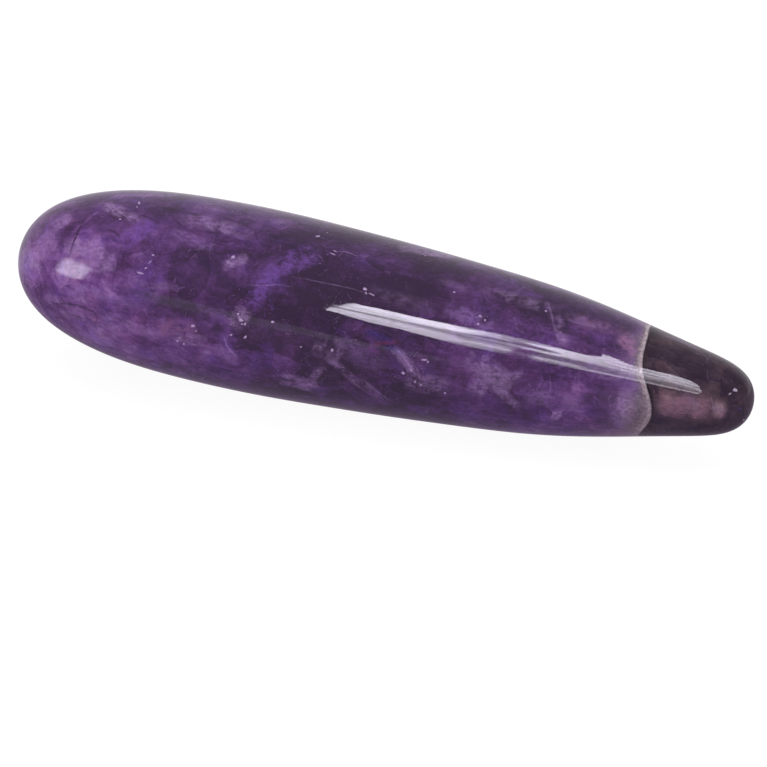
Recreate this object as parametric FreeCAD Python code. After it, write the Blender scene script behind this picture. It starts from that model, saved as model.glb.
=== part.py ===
import FreeCAD, Part
import math
import os

# Polished amethyst massage wand, ground from one piece of banded quartz.
# A blunt teardrop: a broad domed palm end, a full belly about a third of the
# way along, a long gentle taper and a small rounded massage tip.
# The stone has three natural growth zones that run right through it:
#   amethyst_body      the violet mass, from the palm end to the milky band
#   milky_quartz_band  a thin wavy layer of white quartz
#   smoky_tip          the dark smoky quartz beyond it
# Neighbouring zones meet on one wavy growth surface, so their faces coincide.
#
# Millimetres. +X runs along the wand towards the massage tip, +Z is up.
# The wand lies on its side at its natural rest tilt, on a faint ground flat
# straight below the centre of mass. Origin: centre of the base of the
# bounding box.

V = FreeCAD.Vector

# ---- driving dimensions -----------------------------------------------------
WAND_LENGTH = 110.0        # apex to apex along the wand's own axis
BELLY_WIDTH = 26.9         # widest, across (Y)
BELLY_HEIGHT = 26.2        # widest, when it rests on its flatter side (Z)

# outline: (fraction of length, fraction of belly radius)
OUTLINE = [
    (0.0, 0.0),
    (0.003141, 0.18712), (0.012536, 0.36318), (0.028058, 0.51985),
    (0.049516, 0.65324), (0.07664, 0.76299), (0.109084, 0.84979),
    (0.146447, 0.91484), (0.188255, 0.95980), (0.233978, 0.98674),
    (0.283058, 0.99875), (0.334866, 0.99850), (0.388740, 0.98803),
    (0.444022, 0.96918), (0.5, 0.94391), (0.555982, 0.91453),
    (0.611264, 0.88225), (0.665134, 0.84534), (0.716942, 0.79939),
    (0.766022, 0.74068), (0.811745, 0.67054), (0.853553, 0.59624),
    (0.890916, 0.52794), (0.92336, 0.47073), (0.950484, 0.41878),
    (0.971942, 0.35635), (0.987464, 0.26701), (0.996859, 0.14482),
    (1.0, 0.0),
]

# growth surfaces, as distances from the palm-end apex along the wand
TIP_BOUNDARY_X = 98.09     # crown of the milky band's far face
TIP_WAVE_AMP = 2.548       # its main wave, down the section
TIP_WAVE_PER_MM = 0.34765
TIP_WAVE_PHASE = -0.9645
TIP_BOW = -0.08607         # bow, per square millimetre
TIP_SWAY_AMP = 0.55        # gentle wave across the depth
TIP_SWAY_PER_MM = 0.30
BAND_THICK = 2.6           # milky band, on the axis
BAND_WEDGE = 0.18          # it thickens downwards, per millimetre
BAND_RIPPLE_AMP = 0.22
BAND_RIPPLE_PER_MM = 0.9
BAND_LEAN = 30.0           # lean of the growth frame about the wand, degrees
GRID_HALF = 18.0           # half-size of the sampled growth surfaces
GRID_STEP = 3.0

BELLY_RADIUS = 13.275      # radius of the round blank before it is set oval
REST_FLAT_DEPTH = 0.10     # faint flat that grinding leaves where the wand lies


# ---- outline of the wand ----------------------------------------------------
def outline_points():
    return [(f * WAND_LENGTH, r * BELLY_RADIUS) for f, r in OUTLINE]


def outline_curve():
    """Upper half of one smooth closed outline, mirrored about the axis."""
    upper = outline_points()
    lower = [(x, -r) for x, r in reversed(upper[1:-1])]
    closed = Part.BSplineCurve()
    closed.interpolate(Points=[V(x, 0.0, r) for x, r in upper + lower],
                       PeriodicFlag=True)
    tip = closed.parameter(V(WAND_LENGTH, 0, 0))
    closed.segment(closed.FirstParameter, tip)
    return closed


def round_blank(curve):
    """Solid of revolution about X."""
    axis = Part.LineSegment(V(WAND_LENGTH, 0, 0), V(0, 0, 0)).toShape()
    section = Part.Face(Part.Wire([curve.toShape(), axis]))
    return section.revolve(V(0, 0, 0), V(1, 0, 0), 360.0)


def set_oval(shape, ky, kz):
    m = FreeCAD.Matrix()
    m.A22 = ky
    m.A33 = kz
    return shape.transformGeometry(m).Solids[0]


# ---- growth surfaces ----------------------------------------------------------
def growth_axes(y, z):
    """Depth p and descent q of a point of the section, in the leaned frame."""
    a = math.radians(BAND_LEAN)
    p = -y * math.cos(a) + z * math.sin(a)
    q = -y * math.sin(a) - z * math.cos(a)
    return p, q


def tip_boundary(y, z):
    p, q = growth_axes(y, z)
    return (TIP_BOUNDARY_X
            + TIP_WAVE_AMP * math.sin(TIP_WAVE_PER_MM * q + TIP_WAVE_PHASE)
            + TIP_BOW * q * q
            + TIP_SWAY_AMP * math.sin(TIP_SWAY_PER_MM * (p - 7.0)))


def band_boundary(y, z):
    p, q = growth_axes(y, z)
    thick = (BAND_THICK + BAND_WEDGE * q
             + BAND_RIPPLE_AMP * math.sin(BAND_RIPPLE_PER_MM * q + 0.4 * p))
    return tip_boundary(y, z) - max(thick, 0.6)


def beyond(surface_fn):
    """Everything on the tip side of a growth surface."""
    n = int(round(2 * GRID_HALF / GRID_STEP))
    grid = []
    for i in range(n + 1):
        y = -GRID_HALF + i * GRID_STEP
        row = []
        for j in range(n + 1):
            z = -GRID_HALF + j * GRID_STEP
            row.append(V(surface_fn(y, z), y, z))
        grid.append(row)
    surface = Part.BSplineSurface()
    surface.interpolate(grid)
    return surface.toShape().extrude(V(60.0, 0, 0))


# ---- rest pose ------------------------------------------------------------------
def sample_outline(curve, n=4000):
    lo, hi = curve.FirstParameter, curve.LastParameter
    out = []
    for i in range(n + 1):
        p = curve.value(lo + (hi - lo) * i / n)
        out.append((p.x, max(p.z, 0.0)))
    return out


def lowest(samples, kz, tilt):
    c, s = math.cos(tilt), math.sin(tilt)
    best = None
    for x, r in samples:
        z = -x * s - kz * r * c
        if best is None or z < best[0]:
            best = (z, x * c - kz * r * s)
    return best


def rest_tilt(samples, kz, x_mass):
    """Tip-down tilt that puts the contact straight below the centre of mass."""
    lo, hi = 0.0, math.radians(12.0)
    for _ in range(60):
        mid = 0.5 * (lo + hi)
        z, x_contact = lowest(samples, kz, mid)
        if x_contact < x_mass * math.cos(mid):
            lo = mid
        else:
            hi = mid
    return 0.5 * (lo + hi)


def main():
    os.makedirs("parts", exist_ok=True)
    ky = BELLY_WIDTH / (2.0 * BELLY_RADIUS)
    kz = BELLY_HEIGHT / (2.0 * BELLY_RADIUS)

    curve = outline_curve()
    wand = set_oval(round_blank(curve), ky, kz)

    past_band = beyond(tip_boundary)
    past_body = beyond(band_boundary)
    smoky_tip = wand.common(past_band)
    rest = wand.cut(past_band)
    milky_quartz_band = rest.common(past_body)
    amethyst_body = rest.cut(past_body)

    samples = sample_outline(curve)
    x_mass = wand.CenterOfMass.x
    tilt = rest_tilt(samples, kz, x_mass)
    c, s = math.cos(tilt), math.sin(tilt)
    xs = [x * c + sign * kz * r * s for x, r in samples for sign in (-1, 1)]
    z_low, x_contact = lowest(samples, kz, tilt)
    move = V(-(min(xs) + max(xs)) / 2.0, 0.0, -z_low)

    parts = {"amethyst_body": amethyst_body,
             "milky_quartz_band": milky_quartz_band,
             "smoky_tip": smoky_tip}
    below = Part.makeBox(200.0, 60.0, 20.0,
                         V(-100.0, -30.0, REST_FLAT_DEPTH - 20.0))
    total = 0.0
    for name, shape in parts.items():
        solid = shape.Solids[0]
        solid = solid.copy()
        solid.rotate(V(0, 0, 0), V(0, 1, 0), math.degrees(tilt))
        solid.translate(move)
        if solid.BoundBox.ZMin < REST_FLAT_DEPTH:
            solid = solid.cut(below).Solids[0]
        solid.translate(V(0, 0, -REST_FLAT_DEPTH))
        if name == "amethyst_body":
            flat = min(solid.Faces, key=lambda f: f.CenterOfMass.z)
            b = flat.BoundBox
            print("flat", round(b.XLength, 2), "by", round(b.YLength, 2),
                  "centre", round(flat.CenterOfMass.x, 2))
        total += solid.Volume
        print(name, "solids", len(shape.Solids), "valid", solid.isValid(),
              "volume", round(solid.Volume, 1), "faces", len(solid.Faces))
        solid.exportStep("parts/" + name + ".step")
    print("tilt deg", round(math.degrees(tilt), 4), "x_mass", round(x_mass, 3),
          "contact x", round(x_contact + move.x, 3),
          "move", round(move.x, 4), round(move.z, 4))
    print("whole", round(wand.Volume, 1), "sum of zones", round(total, 1),
          "mass g at 2.65", round(total * 2.65e-3, 1))
    for label, x in (("palm", 0.0), ("tip", WAND_LENGTH),
                     ("mass", x_mass)):
        print(label, "at", round(x * c + move.x, 3), 0.0,
              round(-x * s + move.z - REST_FLAT_DEPTH, 3))


main()
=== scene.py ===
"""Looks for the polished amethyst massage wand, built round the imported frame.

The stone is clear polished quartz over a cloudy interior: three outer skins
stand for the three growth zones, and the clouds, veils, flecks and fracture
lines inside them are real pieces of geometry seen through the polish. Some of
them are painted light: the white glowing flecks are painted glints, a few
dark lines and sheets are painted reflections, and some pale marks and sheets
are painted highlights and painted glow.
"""

import math

import bpy
import numpy as np
from mathutils import Matrix, Vector


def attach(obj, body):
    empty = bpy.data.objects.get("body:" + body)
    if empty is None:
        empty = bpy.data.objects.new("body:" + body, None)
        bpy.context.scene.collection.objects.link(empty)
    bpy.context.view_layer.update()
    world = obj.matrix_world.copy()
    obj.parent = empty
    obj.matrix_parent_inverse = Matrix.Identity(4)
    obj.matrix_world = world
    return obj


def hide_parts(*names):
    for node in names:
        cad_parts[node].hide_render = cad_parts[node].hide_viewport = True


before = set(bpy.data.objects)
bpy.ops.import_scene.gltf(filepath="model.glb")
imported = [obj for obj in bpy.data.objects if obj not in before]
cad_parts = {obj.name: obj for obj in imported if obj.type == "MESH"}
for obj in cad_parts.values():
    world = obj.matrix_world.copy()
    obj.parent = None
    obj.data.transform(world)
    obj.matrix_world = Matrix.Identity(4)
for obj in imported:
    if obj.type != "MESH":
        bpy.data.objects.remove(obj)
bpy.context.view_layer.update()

# ---------------------------------------------------------------- dimensions
# The same outline, ovality, rest tilt and growth surfaces as the solids (mm).
WAND_LENGTH, BELLY_WIDTH, BELLY_HEIGHT, BELLY_RADIUS = 110.0, 26.9, 26.2, 13.275
OUTLINE = [
    (0.0, 0.0), (0.003141, 0.18712), (0.012536, 0.36318), (0.028058, 0.51985),
    (0.049516, 0.65324), (0.07664, 0.76299), (0.109084, 0.84979),
    (0.146447, 0.91484), (0.188255, 0.95980), (0.233978, 0.98674),
    (0.283058, 0.99875), (0.334866, 0.99850), (0.388740, 0.98803),
    (0.444022, 0.96918), (0.5, 0.94391), (0.555982, 0.91453),
    (0.611264, 0.88225), (0.665134, 0.84534), (0.716942, 0.79939),
    (0.766022, 0.74068), (0.811745, 0.67054), (0.853553, 0.59624),
    (0.890916, 0.52794), (0.92336, 0.47073), (0.950484, 0.41878),
    (0.971942, 0.35635), (0.987464, 0.26701), (0.996859, 0.14482), (1.0, 0.0),
]
TILT, MOVE_X, MOVE_Z = math.radians(2.7534), -54.9332, 14.9278
KY, KZ = BELLY_WIDTH / 2 / BELLY_RADIUS, BELLY_HEIGHT / 2 / BELLY_RADIUS
SC, SS = math.cos(TILT), math.sin(TILT)
RNG = np.random.default_rng(20)


def closed_spline(points):
    """Closed cubic spline through points, by chord length."""
    p = np.array(points, float)
    n = len(p)
    q = np.vstack([p, p[:1]])
    h = np.linalg.norm(np.diff(q, axis=0), axis=1)
    a, b = np.zeros((n, n)), np.zeros((n, 2))
    for i in range(n):
        a[i, (i - 1) % n] += h[i - 1]
        a[i, i] += 2 * (h[i - 1] + h[i])
        a[i, (i + 1) % n] += h[i]
        b[i] = 6 * ((q[i + 1] - q[i]) / h[i] - (q[i] - p[i - 1]) / h[i - 1])
    m = np.linalg.solve(a, b)
    m = np.vstack([m, m[:1]])
    u = np.concatenate([[0], np.cumsum(h)])

    def at(t):
        t = np.asarray(t, float)
        k = np.clip(np.searchsorted(u, t, side="right") - 1, 0, n - 1)
        l, r, hh = (u[k + 1] - t)[..., None], (t - u[k])[..., None], h[k][..., None]
        return ((m[k] * l**3 + m[k + 1] * r**3) / (6 * hh)
                + (q[k] / hh - m[k] * hh / 6) * l + (q[k + 1] / hh - m[k + 1] * hh / 6) * r)

    return u, at


_up = [(f * WAND_LENGTH, r * BELLY_RADIUS) for f, r in OUTLINE]
_u, _curve = closed_spline(_up + [(x, -r) for x, r in reversed(_up[1:-1])])
U_TIP = float(_u[len(_up) - 1])
_t = np.linspace(0, U_TIP, 6001)
_xr = _curve(_t)
_xr[:, 1] = np.maximum(_xr[:, 1], 0)


def radius_at(x):
    """Radius of the round blank at x mm from the palm apex."""
    return np.interp(x, _xr[:, 0], _xr[:, 1], left=0.0, right=0.0)


def growth_axes(y, z):
    a = math.radians(30.0)
    return -y * math.cos(a) + z * math.sin(a), -y * math.sin(a) - z * math.cos(a)


def tip_boundary(y, z):
    p, q = growth_axes(y, z)
    return (98.09 + 2.548 * np.sin(0.34765 * q - 0.9645) - 0.08607 * q * q
            + 0.55 * np.sin(0.30 * (p - 7.0)))


def band_boundary(y, z):
    p, q = growth_axes(y, z)
    thick = 2.6 + 0.18 * q + 0.22 * np.sin(0.9 * q + 0.4 * p)
    return tip_boundary(y, z) - np.maximum(thick, 0.6)


def skin_point(u, phi):
    xr = _curve(u)
    r = np.maximum(xr[..., 1], 0)
    return np.stack([xr[..., 0], KY * r * np.cos(phi), KZ * r * np.sin(phi)], -1)


def to_world(p):
    """Wand millimetres to row-frame metres, with the ground flat."""
    x, y, z = p[..., 0], p[..., 1], p[..., 2]
    out = np.stack([x * SC + z * SS + MOVE_X, y, -x * SS + z * SC + MOVE_Z], -1)
    out[..., 2] = np.maximum(out[..., 2], 0.0)
    return out * 0.001


def to_wand(w):
    w = np.asarray(w) * 1000.0
    x, y, z = w[..., 0] - MOVE_X, w[..., 1], w[..., 2] - MOVE_Z
    return np.stack([x * SC - z * SS, y, x * SS + z * SC], -1)


# ---------------------------------------------------------------- camera
CAM_AZ, CAM_EL, CAM_D = math.radians(20.9008), math.radians(26.0), 0.9
right = np.array([math.cos(CAM_AZ), math.sin(CAM_AZ), 0.0])
level = np.array([-math.sin(CAM_AZ), math.cos(CAM_AZ), 0.0])
zed = np.array([0.0, 0.0, 1.0])
look = level * math.cos(CAM_EL) - zed * math.sin(CAM_EL)
up = level * math.sin(CAM_EL) + zed * math.cos(CAM_EL)
aim = np.array([0.0, 0.0, 0.0133])
cam_at = aim - look * CAM_D + right * 0.00031937 - up * 0.0089452
LENS = 300.0265
FOCAL = LENS / 36.0 * 767.0

cam_data = bpy.data.cameras.new("camera")
cam_data.lens, cam_data.sensor_width = LENS, 36.0
cam_data.clip_start, cam_data.clip_end = 0.05, 50.0
camera = bpy.data.objects.new("camera", cam_data)
bpy.context.collection.objects.link(camera)
camera.matrix_world = Matrix((
    (right[0], up[0], -look[0], cam_at[0]),
    (right[1], up[1], -look[1], cam_at[1]),
    (right[2], up[2], -look[2], cam_at[2]),
    (0, 0, 0, 1)))
bpy.context.scene.camera = camera


def ray_to_skin(px, py):
    """Where the line of sight through a place in the main view meets the
    polish: point and outward normal, in wand mm, and the sight direction."""
    d = look + right * (px - 383.5) / FOCAL - up * (py - 383.5) / FOCAL
    d /= np.linalg.norm(d)
    o = to_wand(cam_at)
    dv = to_wand(cam_at + d) - o
    dv /= np.linalg.norm(dv)

    def inside(t):
        p = o + dv * np.asarray(t, float)[..., None]
        r = np.maximum(radius_at(p[..., 0]), 1e-6)
        return (p[..., 1] / (KY * r)) ** 2 + (p[..., 2] / (KZ * r)) ** 2 < 1

    steps = np.arange(830.0, 970.0, 0.25)
    hits = np.nonzero(inside(steps))[0]
    if not len(hits):
        return None
    lo, hi = steps[hits[0]] - 0.25, steps[hits[0]]
    for _ in range(24):
        mid = (lo + hi) / 2
        if inside(mid):
            hi = mid
        else:
            lo = mid
    p = o + dv * hi
    r = radius_at(p[0])
    slope = (radius_at(p[0] + 0.2) - radius_at(p[0] - 0.2)) / 0.4
    n = np.array([-slope * r, p[1] / KY**2, p[2] / KZ**2])
    return p, n / np.linalg.norm(n), dv


def seen_at(px, py, depth):
    """A point inside the stone, depth mm below the polish, that shows at this
    place in the main view once the polish has bent the line of sight."""
    hit = ray_to_skin(px, py)
    if hit is None:
        return None
    p, n, d = hit
    k = 1 / 1.544
    c = -float(n @ d)
    s2 = k * k * (1 - c * c)
    bent = k * d + (k * c - math.sqrt(1 - s2)) * n
    return p + bent * depth, n, bent


# ---------------------------------------------------------------- mesh tools
def make(name, verts, faces, mats, attrs=None, face_mats=None, smooth=True):
    me = bpy.data.meshes.new(name)
    me.from_pydata([tuple(v) for v in to_world(np.asarray(verts, float))], [], faces)
    for m in mats:
        me.materials.append(m)
    if face_mats is not None:
        me.polygons.foreach_set("material_index", np.asarray(face_mats, np.int32))
    if smooth:
        me.polygons.foreach_set("use_smooth", np.ones(len(faces), bool))
    at = me.attributes.new("wand", "FLOAT_VECTOR", "POINT")
    at.data.foreach_set("vector", np.asarray(verts, np.float32).ravel())
    for key, val in (attrs or {}).items():
        at = me.attributes.new(key, "FLOAT", "POINT")
        at.data.foreach_set("value", np.asarray(val, np.float32).ravel())
    me.update()
    ob = bpy.data.objects.new(name, me)
    bpy.context.collection.objects.link(ob)
    return ob


def quads(rows, cols, start=0, flip=False):
    """Faces of a grid closed round its columns."""
    out = []
    for i in range(rows - 1):
        a, b = start + i * cols, start + (i + 1) * cols
        for j in range(cols):
            k = (j + 1) % cols
            f = (a + j, a + k, b + k, b + j)
            out.append(f[::-1] if flip else f)
    return out


def fan(start, cols, tip, flip=False):
    out = []
    for j in range(cols):
        f = (tip, start + (j + 1) % cols, start + j)
        out.append(f[::-1] if flip else f)
    return out


def u_where(fn, phi, lo_x=84.0, hi_x=106.0):
    """Curve parameter at which each meridian meets a growth surface."""
    lo = np.full(phi.shape, np.interp(lo_x, _xr[:, 0], _t))
    hi = np.full(phi.shape, np.interp(hi_x, _xr[:, 0], _t))
    for _ in range(40):
        mid = (lo + hi) / 2
        p = skin_point(mid, phi)
        past = p[..., 0] > fn(p[..., 1], p[..., 2])
        hi = np.where(past, mid, hi)
        lo = np.where(past, lo, mid)
    return (lo + hi) / 2


def undulate(p):
    """The slight unevenness that hand polishing leaves."""
    x, y, z = p[..., 0], p[..., 1], p[..., 2]
    a = np.arctan2(z, y)
    r = np.hypot(y, z)
    fade = np.clip(r / 4.0, 0, 1)
    d = (0.012 * np.sin(0.31 * x + 2.0 * a) + 0.0016 * np.sin(0.83 * x - 3.0 * a + 1.1)
         + 0.0004 * np.sin(1.9 * x + 5.0 * a + 0.4) + 0.0022 * np.sin(7.0 * a + 0.12 * x)
         - 0.020)
    s = 1 + fade * d / np.maximum(r, 0.5)
    return np.stack([x, y * s, z * s], -1)


def blob(p, centre, size, power=2.0):
    """Soft ellipsoid weight in wand mm, 1 at its centre."""
    d = (p - np.asarray(centre)) / np.asarray(size)
    return np.exp(-np.sum(d * d, -1) ** (power / 2))


# ---------------------------------------------------------------- node tools
class Tree:
    def __init__(self, name):
        self.mat = bpy.data.materials.new(name)
        self.mat.use_nodes = True
        self.t = self.mat.node_tree
        self.t.nodes.clear()
        self.out = self.t.nodes.new("ShaderNodeOutputMaterial")

    def put(self, sock, val):
        if isinstance(val, bpy.types.NodeSocket):
            self.t.links.new(val, sock)
        elif val is not None:
            sock.default_value = val

    def n(self, kind, props=None, **ins):
        node = self.t.nodes.new("ShaderNode" + kind)
        for k, v in (props or {}).items():
            setattr(node, k, v)
        for k, v in ins.items():
            self.put(node.inputs[k.replace("_", " ")], v)
        return node

    def attr(self, name):
        a = self.n("Attribute", {"attribute_name": name})
        return a

    def math(self, op, a, b=0.0, clamp=False):
        node = self.t.nodes.new("ShaderNodeMath")
        node.operation, node.use_clamp = op, clamp
        self.put(node.inputs[0], a)
        self.put(node.inputs[1], b)
        return node.outputs[0]

    def mix(self, fac, a, b, blend="MIX"):
        node = self.t.nodes.new("ShaderNodeMix")
        node.data_type, node.blend_type = "RGBA", blend
        self.put(node.inputs["Factor"], fac)
        self.put(node.inputs["A"], a)
        self.put(node.inputs["B"], b)
        return node.outputs["Result"]

    def span(self, v, a, b, c=0.0, d=1.0, smooth=True):
        node = self.t.nodes.new("ShaderNodeMapRange")
        node.interpolation_type = "SMOOTHSTEP" if smooth else "LINEAR"
        self.put(node.inputs[0], v)
        for i, k in enumerate((a, b, c, d)):
            self.put(node.inputs[i + 1], k)
        return node.outputs[0]

    def noise(self, vec, scale, detail=4.0, rough=0.55, dist=0.0):
        node = self.n("TexNoise", None, Vector=vec, Scale=scale, Detail=detail,
                      Roughness=rough, Distortion=dist)
        return node.outputs["Fac"]

    def cells(self, vec, scale, feature="F1", rand=1.0, out="Color"):
        node = self.n("TexVoronoi", {"feature": feature}, Vector=vec, Scale=scale,
                      Randomness=rand)
        return node.outputs[out]

    def stretch(self, vec, scale, rot=(0, 0, 0), loc=(0, 0, 0)):
        return self.n("Mapping", None, Vector=vec, Scale=scale, Rotation=rot,
                      Location=loc).outputs[0]

    def ramp(self, fac, stops):
        node = self.t.nodes.new("ShaderNodeValToRGB")
        e = node.color_ramp.elements
        while len(e) < len(stops):
            e.new(0.5)
        for k, (pos, col) in zip(e, stops):
            k.position = pos
            k.color = (*col, 1.0)
        self.put(node.inputs[0], fac)
        return node.outputs[0]


def rgb(r, g, b):
    """sRGB 0-255 to linear, for the colours given below."""
    out = []
    for v in (r, g, b):
        v /= 255.0
        out.append(v / 12.92 if v <= 0.04045 else ((v + 0.055) / 1.055) ** 2.4)
    return tuple(out)


# ---------------------------------------------------------------- materials
def interior_field(t, vec):
    """Broken-crystal brightness about 0: flat facets, clouds, lengthwise
    feathers and fine grains. Also returns the gently warped coordinates."""
    warp = t.n("TexNoise", None, Vector=vec, Scale=0.30, Detail=2.0, Roughness=0.5)
    moved = t.n("VectorMath", {"operation": "MULTIPLY_ADD"})
    t.put(moved.inputs[0], warp.outputs["Color"])
    moved.inputs[1].default_value = (1.7, 1.7, 1.7)
    t.put(moved.inputs[2], vec)
    v = moved.outputs[0]

    def facet(scale, stretch, rot, chan):
        c = t.cells(t.stretch(v, stretch, rot), scale)
        return t.n("SeparateColor", None, Color=c).outputs[chan]

    def part(val, weight, mid=0.5):
        return t.math("MULTIPLY", t.math("SUBTRACT", val, mid), weight)

    terms = [
        part(facet(0.24, (0.7, 1.2, 1.0), (0.3, 0.5, 0.2), 0), 0.26),
        part(facet(0.62, (0.6, 1.3, 1.1), (0.9, 0.3, 0.5), 1), 0.17),
        part(facet(1.7, (0.8, 1.2, 1.3), (0.2, 0.8, 0.1), 2), 0.09),
        part(t.noise(v, 0.12, 2.0, 0.5), 0.9),
        part(t.noise(v, 0.42, 8.0, 0.62), 0.95),
        part(t.noise(t.stretch(v, (0.22, 1.5, 1.3), (0.0, 0.25, 0.15)), 0.9, 6.0, 0.68), 0.62),
        part(t.noise(t.stretch(vec, (0.8, 1.1, 1.1), (0.5, 0.9, 0.3)), 2.7, 4.0, 0.75), 0.26),
    ]
    s = terms[0]
    for k in terms[1:]:
        s = t.math("ADD", s, k)
    return s, v


def interior_material(name, stops, gain=1.0, grains=1.0):
    t = Tree(name)
    vec = t.attr("wand").outputs["Vector"]
    f, v = interior_field(t, vec)
    # per-vertex tone: the stone's own paler and darker zones, plus the painted highlights and painted glow placed by
    # the marks
    tone_and_painted_glow = t.attr("tone_and_painted_glow").outputs["Fac"]
    f = t.math("ADD", t.math("MULTIPLY", f, gain), tone_and_painted_glow, clamp=True)
    col = t.ramp(f, stops)
    hue = t.noise(v, 0.26, 3.0, 0.55)
    col = t.mix(t.span(hue, 0.52, 0.68, 0.0, 0.7), col,
                t.mix(1.0, col, (0.88, 0.86, 1.22, 1), "MULTIPLY"))
    col = t.mix(t.span(hue, 0.48, 0.34, 0.0, 0.6), col,
                t.mix(1.0, col, (1.16, 0.98, 0.94, 1), "MULTIPLY"))
    col = t.mix(t.attr("pink").outputs["Fac"], col,
                t.mix(1.0, col, (1.30, 0.98, 1.02, 1), "MULTIPLY"))
    # thin dark cracks and thin pale veins between the crystals, in places
    edge = t.cells(t.stretch(v, (0.5, 1.2, 1.1), (0.2, 0.5, 0.3)), 0.55, "DISTANCE_TO_EDGE", 1.0, "Distance")
    where = t.span(t.noise(vec, 0.35, 2.0), 0.52, 0.60)
    col = t.mix(t.math("MULTIPLY", t.span(edge, 0.0, 0.030, 0.6, 0.0), where), col, (0.018, 0.006, 0.030, 1))
    vein = t.cells(t.stretch(v, (0.9, 0.6, 1.1), (0.7, 0.2, 0.9)), 0.40, "DISTANCE_TO_EDGE", 1.0, "Distance")
    where = t.span(t.noise(t.stretch(vec, (1, 1, 1), (0, 0, 0), (9, 4, 2)), 0.30, 3.0), 0.54, 0.64)
    vein = t.math("MULTIPLY", t.span(vein, 0.0, 0.05, 0.55, 0.0), where)
    col = t.mix(t.math("MULTIPLY", vein, t.span(t.noise(vec, 2.0, 3.0), 0.45, 0.6)), col, (0.50, 0.38, 0.60, 1))
    # fine pale grains in clusters
    g = t.span(t.noise(vec, 5.5, 2.0, 0.6), 0.60, 0.70)
    g = t.math("MULTIPLY", g, t.span(t.noise(t.stretch(vec, (1, 1, 1), (0, 0, 0), (3, 8, 5)), 0.42, 3.0, 0.6), 0.55, 0.66))
    col = t.mix(t.math("MULTIPLY", g, 0.55 * grains), col, (0.62, 0.48, 0.72, 1))
    bs = t.n("BsdfPrincipled", None, Base_Color=col, Roughness=0.8, IOR=1.05)
    t.t.links.new(bs.outputs[0], t.out.inputs[0])
    return t.mat


VIOLET = [
    (0.00, rgb(50, 24, 58)), (0.20, rgb(78, 46, 92)), (0.40, rgb(112, 74, 132)),
    (0.60, rgb(146, 106, 168)), (0.80, rgb(184, 150, 204)), (1.00, rgb(228, 208, 238)),
]
PLUM = [
    (0.00, rgb(48, 28, 52)), (0.25, rgb(74, 52, 76)), (0.50, rgb(118, 100, 106)),
    (0.75, rgb(168, 142, 148)), (1.00, rgb(216, 198, 200)),
]
core_mat = interior_material("amethyst depths", VIOLET, 1.0)
tip_core_mat = interior_material("smoky depths", PLUM, 0.7, 0.3)


def skin_material(name, tint, cloud_col, clear=1.0, rough=0.025, cloudy=0.10):
    """Polished quartz: clear where it is clean, milky where it is clouded."""
    t = Tree(name)
    vec = t.attr("wand").outputs["Vector"]
    milk = t.attr("milk").outputs["Fac"]
    n1 = t.noise(vec, 0.22, 5.0, 0.6, 0.4)
    n2 = t.noise(t.stretch(vec, (0.7, 1.2, 1.2), (0.1, 0.4, 0.2)), 1.5, 5.0, 0.7, 0.3)
    cloud = t.math("MULTIPLY", t.span(n1, 0.50, 0.72), t.span(n2, 0.40, 0.70))
    grain = t.noise(vec, 3.0, 4.0, 0.75)
    soft = t.noise(vec, 0.8, 4.0, 0.6)
    k = t.math("ADD", t.span(grain, 0.30, 0.70, 0.80, 1.10, False), t.span(soft, 0.3, 0.7, -0.22, 0.22, False))
    m = t.math("MULTIPLY", milk, k, clamp=True)
    col = t.mix(cloud, tint, cloud_col)
    milk_col = t.mix(t.span(grain, 0.35, 0.65), rgb(170, 148, 162) + (1,), rgb(216, 200, 206) + (1,))
    col = t.mix(t.span(m, 0.05, 0.4), col, milk_col)
    trans = t.math("SUBTRACT", clear, t.math("MULTIPLY", cloud, cloudy))
    trans = t.math("MULTIPLY", trans, t.math("SUBTRACT", 1.0, t.math("MULTIPLY", m, 0.9)), clamp=True)
    bs = t.n("BsdfPrincipled", None, Base_Color=col, Roughness=rough, IOR=1.544,
             Transmission_Weight=trans)
    thru = t.n("BsdfTransparent", None, Color=(0.95, 0.90, 0.97, 1))
    lp = t.n("LightPath")
    mx = t.n("MixShader")
    t.put(mx.inputs[0], lp.outputs["Is Shadow Ray"])
    t.put(mx.inputs[1], bs.outputs[0])
    t.put(mx.inputs[2], thru.outputs[0])
    t.t.links.new(mx.outputs[0], t.out.inputs[0])
    return t.mat


amethyst_mat = skin_material("polished amethyst", (0.74, 0.48, 0.89, 1), rgb(140, 98, 160) + (1,), clear=0.95)
milky_mat = skin_material("milky quartz", (0.74, 0.48, 0.89, 1), rgb(160, 130, 168) + (1,), clear=0.95)
smoky_mat = skin_material("polished smoky quartz", (0.71, 0.57, 0.72, 1), rgb(104, 86, 104) + (1,), clear=0.975, cloudy=0.05)


def plain(name, col, rough=0.6, ior=1.3):
    t = Tree(name)
    bs = t.n("BsdfPrincipled", None, Base_Color=(*col, 1), Roughness=rough, IOR=ior)
    t.t.links.new(bs.outputs[0], t.out.inputs[0])
    return t.mat


def inner_milk_material():
    """The granular growth surface between the milky band and the smoky tip."""
    t = Tree("granular growth surface")
    vec = t.attr("wand").outputs["Vector"]
    g = t.noise(vec, 2.6, 5.0, 0.75)
    col = t.ramp(g, [(0.36, rgb(44, 26, 40)), (0.52, rgb(84, 62, 76)), (0.68, rgb(176, 158, 162))])
    bs = t.n("BsdfPrincipled", None, Base_Color=col, Roughness=0.7, IOR=1.1)
    t.t.links.new(bs.outputs[0], t.out.inputs[0])
    return t.mat


def unseen_material():
    t = Tree("inner join")
    b = t.n("BsdfTransparent")
    t.t.links.new(b.outputs[0], t.out.inputs[0])
    return t.mat


growth_mat = inner_milk_material()
join_mat = unseen_material()

# ---------------------------------------------------------------- outer skins
COLS = 288
phi = np.linspace(0, 2 * math.pi, COLS, endpoint=False)
u_band, u_edge = u_where(band_boundary, phi), u_where(tip_boundary, phi)


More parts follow.
